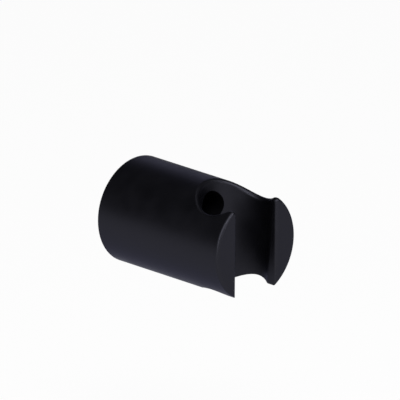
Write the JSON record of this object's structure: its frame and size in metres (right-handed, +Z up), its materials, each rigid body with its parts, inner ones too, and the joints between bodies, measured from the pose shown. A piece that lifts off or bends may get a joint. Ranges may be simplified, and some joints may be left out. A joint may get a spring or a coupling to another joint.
{
  "type": "hand shower holder",
  "caption": "Round bar fixed to a wall by its flat back end, with a conical seat down through its front that holds a hand shower's cone and a front slot that lets the hose in",
  "frame": {"origin": "centre of the flat back end that sits on the wall", "axes": "+Y points into the wall along the bar, the slot faces -Y, +Z is up along the seat, +X is to the right seen from the front"},
  "size_m": [0.036, 0.056, 0.036],
  "materials": {
    "black_lacquer": "matte"
  },
  "bodies": {
    "root": {"holder_body": "black_lacquer"}
  },
  "joints": []
}
